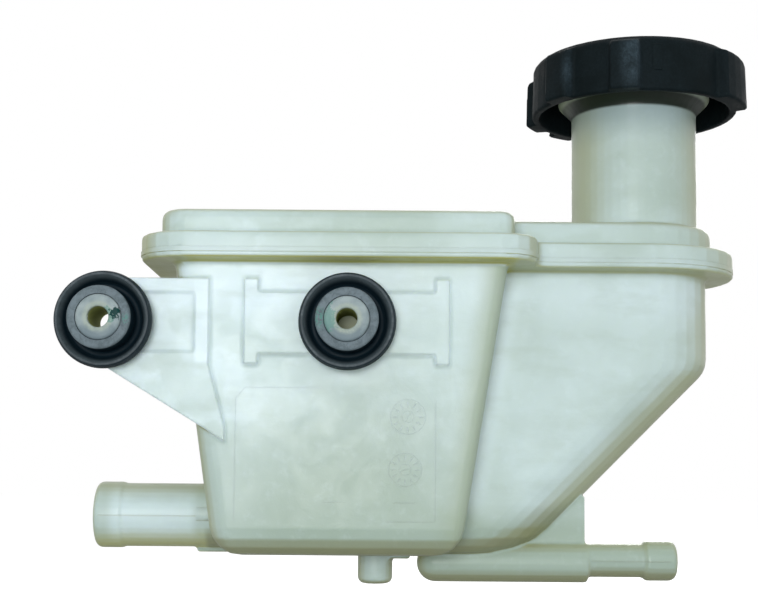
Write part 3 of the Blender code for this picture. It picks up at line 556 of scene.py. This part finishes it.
def cap_plastic():
    """Black textured plastic, rubbed to a dusty blue grey on the crests of its lugs, which also paints the
    highlights on one lug and on the edge of the lug beside it.
    """
    material, tree, shader = new_material("cap_black")
    patches = noise(tree, 75, detail=4.0, roughness=0.6)
    speckle = noise(tree, 1250, detail=4.0, roughness=0.75)
    grain = noise(tree, 2600, detail=3.0, roughness=0.75)
    away = distance_to(tree, (NECK_X, NECK_Y, 0.0), (1.0, 1.0, 0.0))
    crest = span(tree, away, CAP_RADIUS + 1.2 * MM, CAP_RADIUS + 2.6 * MM, 0.12, 0.14)
    # Rubbed dust and painted highlights on one lug's crest and along the edge of the lug beside it
    to_lug = distance_to(tree, RUBBED_LUG_AND_HIGHLIGHT, (1.0, 0.5, 0.40))
    to_edge = distance_to(tree, RUBBED_EDGE_AND_HIGHLIGHT, (1.0, 0.5, 0.25))
    lugs = total(
        tree,
        span(tree, to_lug, 6.0 * MM, 1.0 * MM, 0.0, 0.95),
        span(tree, to_edge, 3.0 * MM, 0.5 * MM, 0.0, 0.65),
    )
    lugs = product(tree, lugs, span(tree, away, CAP_RADIUS, CAP_RADIUS + 1.6 * MM))
    patchy = span(tree, patches, 0.34, 0.62, 0.25, 1.0)
    speckled = span(tree, speckle, 0.34, 0.72, 0.45, 1.0)
    worn_and_sheen = product(tree, patchy, speckled, total(tree, crest, lugs))
    feed(tree, shader.inputs["Base Color"], mix(tree, worn_and_sheen, CAP_BLACK, CAP_DUST_AND_SHEEN))
    feed(tree, shader.inputs["Roughness"], span(tree, patches, 0.35, 0.7, 0.46, 0.62))
    shader.inputs["IOR"].default_value = 1.18
    shader.inputs["Specular IOR Level"].default_value = 0.25
    bump(tree, shader, [(patches, 0.20 * MM), (speckle, 0.05 * MM), (grain, 0.04 * MM)])
    return material


def from_bush_axis(tree):
    """Distance of a point of the surface from the axis of the nearer bush."""
    axes = ((-BUSH_PITCH, 0.0, 0.0), (0.0, 0.0, 0.0))
    return maths(tree, "MINIMUM", *(distance_to(tree, axis, (1.0, 0.0, 1.0)) for axis in axes))


def grommet_rubber():
    """Grey rubber with a dusty bloom, with painted shade near black down in its groove, painted light on the
    wall of its outer ring, and specks of green marking paint.
    """
    material, tree, shader = new_material("grommet_rubber")
    bloom = noise(tree, 170, detail=5.0, roughness=0.65)
    scuffs = noise(tree, 520, detail=5.0, roughness=0.75, distortion=0.5)
    dust = noise(tree, 1300, detail=3.0, roughness=0.7)
    flecks = noise(tree, 1500, detail=2.0, roughness=0.6)
    depth = part_of(tree, "ShaderNodeTexCoord", "Object", 1)
    away = from_bush_axis(tree)
    dusty = product(tree, span(tree, bloom, 0.36, 0.68), span(tree, dust, 0.35, 0.70, 0.35, 1.0))
    colour = mix(tree, dusty, RUBBER, RUBBER_DUST)

    # The collar round the bush is palest, and the sloping wall of the outer ring is painted lighter as light
    # falling on it, broken by scuffs
    face = mix(tree, span(tree, scuffs, 0.38, 0.66), RUBBER_FACE, RUBBER_SCUFF)
    colour = mix(tree, span(tree, depth, 2.0 * MM, 1.2 * MM), colour, face)
    ring = span(tree, away, GROOVE_RADIUS - 0.1 * MM, GROOVE_RADIUS + 0.4 * MM)
    wall = product(tree, ring, span(tree, away, WALL_RADIUS + 0.3 * MM, WALL_RADIUS - 0.2 * MM))
    scuffed_light = span(tree, scuffs, 0.35, 0.65, 0.45, 1.0)
    colour = mix(tree, product(tree, wall, scuffed_light), colour, RUBBER_LIT_WALL)

    # Painted shade makes the groove, the foot of that wall and the ring's outside near black
    hollow = total(
        tree,
        span(tree, depth, 1.4 * MM, 2.4 * MM),
        span(tree, corners(tree, 4 * MM), 0.35, 0.75),
    )
    dark = total(
        tree,
        product(tree, hollow, outside(tree, ring)),
        product(tree, wall, span(tree, depth, 5.4 * MM, 8.2 * MM)),
        span(tree, away, WALL_RADIUS + 0.4 * MM, WALL_RADIUS + 0.85 * MM, 0.0, 0.92),
    )
    colour = mix(tree, dark, colour, RUBBER_DEEP_SHADE)
    on_left, on_middle = PAINT_ON_RUBBER
    painted = total(
        tree,
        spot(tree, on_left, 1.6 * MM, flecks, (1.3, 1.0, 0.8)),
        spot(tree, on_middle, 3.2 * MM, flecks, (1.7, 1.0, 0.8)),
    )
    painted = product(tree, painted, span(tree, flecks, 0.44, 0.56), 0.8)
    feed(tree, shader.inputs["Base Color"], mix(tree, painted, colour, PAINT_WASH))
    feed(tree, shader.inputs["Roughness"], span(tree, bloom, 0.3, 0.7, 0.46, 0.62))
    shader.inputs["Specular IOR Level"].default_value = 0.12
    bump(tree, shader, [(bloom, 0.09 * MM), (dust, 0.02 * MM)])
    return material


def bush_plastic():
    """Greyish white plastic, paler round the bore, with painted shade darker towards the bottom and olive
    down in the bore, and dabs of green marking paint.
    """
    material, tree, shader = new_material("bush_white")
    mottle = noise(tree, 260, detail=4.0)
    streaks = noise(tree, 900, detail=4.0, roughness=0.7)
    depth = part_of(tree, "ShaderNodeTexCoord", "Object", 1)
    height = part_of(tree, "ShaderNodeTexCoord", "Object", 2)
    away = from_bush_axis(tree)
    # Grey mottle, with painted shade darker towards the bottom
    grey = total(
        tree,
        span(tree, mottle, 0.32, 0.70, 0.0, 0.55),
        span(tree, height, 0.5 * MM, -5.5 * MM, 0.0, 0.85),
    )
    colour = mix(tree, grey, BUSH, BUSH_GREY)
    lip = span(tree, away, BUSH_BORE + 1.9 * MM, BUSH_BORE + 0.7 * MM)
    colour = mix(tree, product(tree, lip, span(tree, streaks, 0.35, 0.65, 0.45, 0.95)), colour, BUSH_RIM)
    # Painted olive shade down in the bore
    inside = span(tree, away, BUSH_BORE + 0.6 * MM, BUSH_BORE + 0.2 * MM)
    bore = product(tree, span(tree, depth, 0.5 * MM, 2.0 * MM), inside)
    colour = mix(tree, bore, colour, BUSH_BORE_SHADE)
    on_left, on_middle = PAINT_ON_BUSHES
    wash = total(
        tree,
        spot(tree, on_left, 2.3 * MM, streaks),
        spot(tree, on_middle, 2.6 * MM, streaks, (1.2, 1.0, 0.6)),
    )
    colour = mix(tree, product(tree, wash, 0.6), colour, PAINT_WASH)
    dab = spot(tree, PAINT_DAB, 1.5 * MM, streaks, (0.95, 1.0, 0.85))
    feed(tree, shader.inputs["Base Color"], mix(tree, dab, colour, PAINT))
    rough = total(tree, span(tree, mottle, 0.3, 0.7, 0.35, 0.5), product(tree, bore, 0.5))
    feed(tree, shader.inputs["Roughness"], rough)
    shader.inputs["Specular IOR Level"].default_value = 0.1
    bump(tree, shader, [(mottle, 0.06 * MM)])
    return material


def plain_plastic(name, colour, scale, low, high):
    """Moulded plastic with a faint grain, for the pieces inside."""
    material, tree, shader = new_material(name)
    grain = noise(tree, scale, detail=3.0)
    dimmed = tuple(0.8 * channel for channel in colour)
    feed(tree, shader.inputs["Base Color"], mix(tree, span(tree, grain, 0.3, 0.7), colour, dimmed))
    feed(tree, shader.inputs["Roughness"], span(tree, grain, 0.3, 0.7, low, high))
    bump(tree, shader, [(grain, 0.04 * MM)])
    return material


def wear(obj, material):
    """Gives an object one material in all its slots."""
    if not obj.material_slots:
        obj.data.materials.append(material)
    for slot in obj.material_slots:
        slot.material = material


def refined(node, name, voxel, rounds, most, material, slot, cutter=None):
    """A fine copy of a CAD node: cut, remeshed evenly, softened along its edges and thinned to a budget."""
    source = frame["nodes"][node]
    piece = bpy.data.objects.new(name, source.data.copy())
    bpy.context.scene.collection.objects.link(piece)
    piece.data.materials.clear()
    weld = piece.modifiers.new("weld", "WELD")
    weld.merge_threshold = 0.001 * MM
    if cutter:
        cut = piece.modifiers.new("cut", "BOOLEAN")
        cut.object = cutter
    even = piece.modifiers.new("even", "REMESH")
    even.mode = "VOXEL"
    even.voxel_size = voxel
    soft = piece.modifiers.new("soft", "SMOOTH")
    soft.factor = 0.5
    soft.iterations = rounds
    bpy.context.view_layer.update()
    evaluated = piece.evaluated_get(bpy.context.evaluated_depsgraph_get())
    count = 2 * len(evaluated.data.polygons)
    if count > most:
        thin = piece.modifiers.new("thin", "DECIMATE")
        thin.ratio = most / count
    graph = bpy.context.evaluated_depsgraph_get()
    mesh = bpy.data.meshes.new_from_object(piece.evaluated_get(graph))
    piece.modifiers.clear()
    piece.data = mesh
    mesh.shade_smooth()
    wear(piece, material)
    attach(piece, source["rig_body"])
    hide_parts(node)
    return piece


def block(name, low, high):
    """A plain box to cut with."""
    bm = bmesh.new()
    bmesh.ops.create_cube(bm, size=1.0)
    size = Vector(high) - Vector(low)
    bmesh.ops.scale(bm, vec=size, verts=bm.verts)
    bmesh.ops.translate(bm, vec=Vector(low) + size / 2, verts=bm.verts)
    mesh = bpy.data.meshes.new(name)
    bm.to_mesh(mesh)
    bm.free()
    cutter = bpy.data.objects.new(name, mesh)
    bpy.context.scene.collection.objects.link(cutter)
    return cutter


def rounded(angular, steps=6):
    """A closed outline from corners (u, v, radius), each turned into an arc of that radius."""
    points = []
    for i, (u, v, radius) in enumerate(angular):
        here = Vector((u, v))
        to_last = (Vector(angular[i - 1][:2]) - here).normalized()
        to_next = (Vector(angular[(i + 1) % len(angular)][:2]) - here).normalized()
        if radius <= 0:
            points.append(here)
            continue
        half = to_last.angle(to_next) / 2
        centre = here + (to_last + to_next).normalized() * radius / math.sin(half)
        start = here + to_last * radius / math.tan(half) - centre
        turn = (math.pi - 2 * half) * (1 if to_last.cross(to_next) < 0 else -1)
        for k in range(steps + 1):
            points.append(centre + Matrix.Rotation(turn * k / steps, 2) @ start)
    return [(point.x, point.y) for point in points]


def mesh_piece(name, bm, material, body):
    """A piece from a bmesh: smooth, facing out, with its material, riding on its body."""
    bmesh.ops.recalc_face_normals(bm, faces=bm.faces)
    mesh = bpy.data.meshes.new(name)
    bm.to_mesh(mesh)
    bm.free()
    mesh.shade_smooth()
    mesh.set_sharp_from_angle(angle=math.radians(40))
    piece = bpy.data.objects.new(name, mesh)
    bpy.context.scene.collection.objects.link(piece)
    wear(piece, material)
    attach(piece, body)
    return piece


def spun(profile, centre, steps):
    """A closed profile of (radius, along Y) points spun round the Y axis through a centre."""
    bm = bmesh.new()
    rows = []
    for k in range(steps):
        angle = math.tau * k / steps
        row = []
        for radius, along in profile:
            point = (radius * math.cos(angle), along, radius * math.sin(angle))
            row.append(bm.verts.new(Vector(centre) + Vector(point)))
        rows.append(row)
    count = len(profile)
    for k in range(steps):
        here, after = rows[k], rows[(k + 1) % steps]
        for i in range(count):
            bm.faces.new((here[i], here[(i + 1) % count], after[(i + 1) % count], after[i]))
    return bm


def grommet(side, x, material):
    """Rubber bobbin: a barrel-shaped outer ring, a groove, a collar round the bush and a snap bead behind."""
    low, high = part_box(f"grommet_{side}")
    outer = (high.x - low.x) / 2
    inner = BUSH_RADIUS + COLLAR_FIT
    seat = PLATE_FRONT - SEAT_GAP
    front = seat - RING_LENGTH
    floor = seat - GROOVE_FLOOR
    lip = PLATE_BACK + SEAT_GAP
    profile = rounded(
        [
            (inner, GROMMET_FRONT, 0.25 * MM),
            (COLLAR_RADIUS, GROMMET_FRONT, 0.7 * MM),
            (COLLAR_RADIUS, floor, 0.9 * MM),
            (GROOVE_RADIUS, floor, 0.8 * MM),
            (WALL_RADIUS, front, 0.4 * MM),
            (outer - 0.5 * MM, front, 0.4 * MM),
            (outer, front + 2.2 * MM, 1.6 * MM),
            (outer, seat - 3.3 * MM, 1.6 * MM),
            (outer - 1.1 * MM, seat, 0.5 * MM),
            (NECKED_RADIUS, seat, 0),
            (NECKED_RADIUS, lip, 0),
            (SNAP_RADIUS, lip + 0.5 * MM, 0.3 * MM),
            (SNAP_RADIUS, lip + 1.5 * MM, 0.4 * MM),
            (NECKED_RADIUS, BUSH_LENGTH, 0.3 * MM),
            (inner, BUSH_LENGTH, 0),
        ]
    )
    bm = spun(profile, (x, 0, 0), 128)
    piece = mesh_piece(f"grommet_{side}_rubber", bm, material, "reservoir")
    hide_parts(f"grommet_{side}")


def bush(side, x, material):
    """Plain hard sleeve with rounded rims."""
    profile = rounded(
        [
            (BUSH_BORE, 0.0, 0.5 * MM),
            (BUSH_RADIUS, 0.0, 0.9 * MM),
            (BUSH_RADIUS, BUSH_LENGTH, 0.5 * MM),
            (BUSH_BORE, BUSH_LENGTH, 0.5 * MM),
        ]
    )
    bm = spun(profile, (x, 0, 0), 96)
    piece = mesh_piece(f"bush_{side}_sleeve", bm, material, "reservoir")
    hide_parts(f"bush_{side}")


def front_of(node):
    """A function that gives the Y of a node's surface where a line from the front first meets it."""
    mesh = frame["nodes"][node].data
    tree = BVHTree.FromPolygons([v.co for v in mesh.vertices], [tuple(p.vertices) for p in mesh.polygons])

    def reach(x, z):
        hit = tree.ray_cast(Vector((x, -200 * MM, z)), Vector((0, 1, 0)))[0]
        return hit.y

    return reach


def ridge(bm, reach, points, width, height):
    """A low ridge along points (x, z), lying on the surface behind them and sunk a little into it."""
    path = []
    for start, end in zip(points, points[1:]):
        start, end = Vector(start), Vector(end)
        count = max(1, math.ceil((end - start).length / RIDGE_STEP))
        path += [start.lerp(end, k / count) for k in range(count)]
    path.append(Vector(points[-1]))
    rows = []
    for i, point in enumerate(path):
        before, after = path[max(i - 1, 0)], path[min(i + 1, len(path) - 1)]
        if points[0] == points[-1] and i in (0, len(path) - 1):
            before, after = path[-2], path[1]
        along = (after - before).normalized()
        side = Vector((-along.y, along.x)) * width / 2
        surface = reach(point.x, point.y)
        row = []
        for share, rise in ((-1, -RIDGE_SINK), (-0.5, height), (0.5, height), (1, -RIDGE_SINK)):
            row.append(bm.verts.new((point.x + share * side.x, surface - rise, point.y + share * side.y)))
        rows.append(row)
    for here, after in zip(rows, rows[1:]):
        for i in range(4):
            bm.faces.new((here[i], here[(i + 1) % 4], after[(i + 1) % 4], after[i]))
    bm.faces.new(rows[0])
    bm.faces.new(reversed(rows[-1]))


def ring_points(centre, radius, steps):
    """A closed ring of points (x, z)."""
    angles = [math.tau * k / steps for k in range(steps)]
    points = [(centre[0] + radius * math.cos(a), centre[1] + radius * math.sin(a)) for a in angles]
    return points + points[:1]


def spoke(centre, angle, start, end):
    """Two points (x, z) on a ray from a centre."""
    ray = Vector((math.cos(angle), math.sin(angle)))
    return [tuple(Vector(centre) + ray * start), tuple(Vector(centre) + ray * end)]


def date_dials(material, reach):
    """Two moulded dials on the front wall, each with a rim, twelve ticks, a hub and a pointer."""
    bm = bmesh.new()
    for centre, radius, pointer in DIALS:
        ridge(bm, reach, ring_points(centre, radius, 40), *DIAL_RIM)
        ridge(bm, reach, ring_points(centre, 0.34 * radius, 20), *DIAL_HUB)
        for k in range(DIAL_TICKS):
            tick = spoke(centre, math.tau * k / DIAL_TICKS, 0.58 * radius, 0.86 * radius)
            ridge(bm, reach, tick, *DIAL_TICK)
        ridge(bm, reach, spoke(centre, pointer, -0.24 * radius, 0.24 * radius), *DIAL_POINTER)
    mesh_piece("date_dials", bm, material, "reservoir")


def mould_lines(material, reach):
    """The faint edge of the mould's insert on the front wall, and the parting lines along both spigots."""
    bm = bmesh.new()
    for line in INSERT_LINES:
        ridge(bm, reach, line, *INSERT_EDGE)
    for line in PARTING_LINES:
        ridge(bm, reach, line, *PARTING_EDGE)
    mesh_piece("mould_lines", bm, material, "reservoir")


def spigot_gate(material, reach):
    """Small raised gate mark where the big spigot meets the tank."""
    left, right, low, high = GATE
    middle = (low + high) / 2
    bm = bmesh.new()
    ridge(bm, reach, [(left, middle), (right, middle)], high - low, GATE_HEIGHT)
    mesh_piece("spigot_gate", bm, material, "reservoir")


def flange_outline(inset):
    """The weld flange seen from above, drawn in by an inset."""
    edge = FLANGE_OVERHANG - inset
    left = TANK_LEFT - edge - FLANGE_REACH
    front = TANK_FRONT - edge
    step = STEP_X + edge
    lobe = NECK_Y - LOBE_RADIUS - edge
    back = NECK_Y + LOBE_RADIUS + edge
    end = NECK_X + LOBE_RADIUS + edge
    end_round = (back - lobe) / 2 - SEAT_GAP
    return rounded(
        [
            (left, front, CORNER_ROUND + edge),
            (step, front, STEP_ROUND + edge),
            (step, lobe, FLANGE_INNER_ROUND),
            (end, lobe, end_round),
            (end, back, end_round),
            (left, back, CORNER_ROUND + edge),
        ],
        16,
    )


def weld_bead(material):
    """The thin bead that closes the seam between the tank's flange and the cover's."""
    bm = bmesh.new()
    rows = []
    outer, inner = flange_outline(-BEAD_PROUD), flange_outline(BEAD_DEPTH)
    middle = flange_outline(BEAD_ROUND)
    levels = (
        (outer, 0.85 * BEAD_HALF),
        (middle, BEAD_HALF),
        (inner, BEAD_HALF),
        (inner, -BEAD_HALF),
        (middle, -BEAD_HALF),
        (outer, -0.85 * BEAD_HALF),
    )
    centre_z = WELD_Z + SEAT_GAP / 2
    for i in range(len(outer)):
        rows.append([bm.verts.new((ring[i][0], ring[i][1], centre_z + rise)) for ring, rise in levels])
    for i, here in enumerate(rows):
        after = rows[(i + 1) % len(rows)]
        for k in range(len(levels)):
            bm.faces.new((here[k], here[(k + 1) % len(levels)], after[(k + 1) % len(levels)], after[k]))
    mesh_piece("weld_bead", bm, material, "reservoir")


def cap_rib(material):
    """Narrow moulded rib on the cap's skirt, ending short of its rim."""
    bm = bmesh.new()
    top = CAP_TOP_Z - RIB_TOP
    foot = CAP_TOP_Z - RIB_FOOT
    rows = []
    for k in range(RIB_STEPS + 1):
        angle = RIB_MIDDLE + RIB_HALF * (2 * k / RIB_STEPS - 1)
        swell = RIB_HEIGHT * math.sin(math.pi * k / RIB_STEPS) ** 0.5 - 0.1 * MM
        section = (
            (CAP_RADIUS - RIB_SINK, top + 0.6 * MM),
            (CAP_RADIUS + swell, top),
            (CAP_RADIUS + 0.1 * MM + swell, foot + 0.5 * MM),
            (CAP_RADIUS - RIB_SINK, foot),
        )
        row = []
        for radius, z in section:
            place = (NECK_X + radius * math.sin(angle), NECK_Y - radius * math.cos(angle), z)
            row.append(bm.verts.new(place))
        rows.append(row)
    for here, after in zip(rows, rows[1:]):
        for i in range(4):
            bm.faces.new((here[i], here[(i + 1) % 4], after[(i + 1) % 4], after[i]))
    bm.faces.new(rows[0])
    bm.faces.new(reversed(rows[-1]))
    mesh_piece("cap_rib", bm, material, frame["nodes"]["cap"]["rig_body"])


def add_light(name, place, aim, size, power, colour):
    """A round soft lamp aimed at a point."""
    data = bpy.data.lights.new(name, "AREA")
    data.shape = "DISK"
    data.size = size
    data.energy = power
    data.color = colour
    lamp = bpy.data.objects.new(name, data)
    bpy.context.scene.collection.objects.link(lamp)
    lamp.location = place
    lamp.rotation_euler = (Vector(aim) - Vector(place)).to_track_quat("-Z", "Y").to_euler()


def build_world():
    """Soft light from all round, stronger from above, in front of a surround that is seen as white."""
    world = bpy.data.worlds.new("surround")
    bpy.context.scene.world = world
    world.use_nodes = True
    tree = world.node_tree
    lit = tree.nodes["Background"]
    lit.inputs["Color"].default_value = (0.98, 1.0, 1.0, 1.0)
    upward = part_of(tree, "ShaderNodeTexCoord", "Generated", 2)
    feed(tree, lit.inputs["Strength"], span(tree, upward, -1.0, 1.0, GROUND, SKY))
    seen = tree.nodes.new("ShaderNodeBackground")
    seen.inputs["Color"].default_value = (1.0, 1.0, 1.0, 1.0)
    path = tree.nodes.new("ShaderNodeLightPath")
    share = total(tree, *(path.outputs[f"Is {kind} Ray"] for kind in ("Camera", "Transmission", "Glossy")))
    choose = tree.nodes.new("ShaderNodeMixShader")
    tree.links.new(share, choose.inputs[0])
    tree.links.new(lit.outputs[0], choose.inputs[1])
    tree.links.new(seen.outputs[0], choose.inputs[2])
    tree.links.new(choose.outputs[0], tree.nodes["World Output"].inputs["Surface"])


def build_floor(height):
    """A wide pale floor that the camera sees as white, and that keeps the part's soft shadow."""
    bm = bmesh.new()
    bmesh.ops.create_grid(bm, x_segments=1, y_segments=1, size=4.0)
    bmesh.ops.translate(bm, vec=(0, 0, height), verts=bm.verts)
    mesh = bpy.data.meshes.new("floor")
    bm.to_mesh(mesh)
    bm.free()
    floor = bpy.data.objects.new("floor", mesh)
    bpy.context.scene.collection.objects.link(floor)
    material, tree, shader = new_material("floor_white")
    speckle = noise(tree, 30)
    feed(tree, shader.inputs["Base Color"], mix(tree, speckle, (0.54, 0.54, 0.54), (0.56, 0.56, 0.56)))
    shader.inputs["Roughness"].default_value = 0.9
    shader.inputs["Specular IOR Level"].default_value = 0.0
    path = tree.nodes.new("ShaderNodeLightPath")
    shader.inputs["Emission Color"].default_value = (1.0, 1.0, 1.0, 1.0)
    feed(tree, shader.inputs["Emission Strength"], product(tree, path.outputs["Is Camera Ray"], FLOOR_GLOW))
    wear(floor, material)


def build_stage():
    """World, floor and lamps round the part."""
    bpy.context.scene.view_settings.view_transform = "Standard"
    low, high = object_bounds()
    middle = (Vector(low) + Vector(high)) / 2
    build_world()
    build_floor(low[2] - FLOOR_DROP)
    for name, place, size, power, colour in LAMPS:
        add_light(name, middle + Vector(place), middle, size, power, colour)


def build_camera():
    """A camera fitted to the photograph's view."""
    scene = bpy.context.scene
    data = bpy.data.cameras.new("camera")
    data.sensor_fit = "HORIZONTAL"
    data.sensor_width = SENSOR
    data.lens = FOCAL_LENGTH / IMAGE_WIDTH * SENSOR
    data.shift_x = SHIFT_X
    data.shift_y = SHIFT_Y
    data.clip_start = 0.01
    camera = bpy.data.objects.new("camera", data)
    scene.collection.objects.link(camera)
    tilt = Matrix.Rotation(math.radians(90 + CAMERA_PITCH), 4, "X")
    roll = Matrix.Rotation(math.radians(CAMERA_ROLL), 4, "Z")
    camera.matrix_world = Matrix.Translation(CAMERA_PLACE) @ tilt @ roll
    scene.camera = camera


def main():
    build_camera()
    build_stage()

    natural = natural_plastic()
    rubber = grommet_rubber()
    white = bush_plastic()
    black = cap_plastic()
    band = block("band_cutter", ARM_BAND_LOW, ARM_BAND_HIGH)
    refined("lower_tank", "tank_skin", *TANK_MESH, natural, "natural_plastic", band)
    bpy.data.objects.remove(band)
    refined("upper_cover", "cover_skin", *COVER_MESH, natural, "natural_plastic")
    refined("cap", "cap_skin", *CAP_MESH, black, "cap_plastic")
    reach = front_of("lower_tank")
    date_dials(natural, reach)
    mould_lines(natural, reach)
    spigot_gate(natural, reach)
    weld_bead(natural)
    cap_rib(black)
    for side, x in (("left", -BUSH_PITCH), ("middle", 0.0)):
        grommet(side, x, rubber)
        bush(side, x, white)
    wear(frame["nodes"]["cap_seal"], plain_plastic("seal_black", SEAL, 500, 0.4, 0.6))
    wear(frame["nodes"]["filter_frame"], plain_plastic("filter_white", FILTER, 300, 0.4, 0.55))
    wear(frame["nodes"]["filter_screen"], plain_plastic("screen_weave", SCREEN, 2500, 0.5, 0.7))


main()
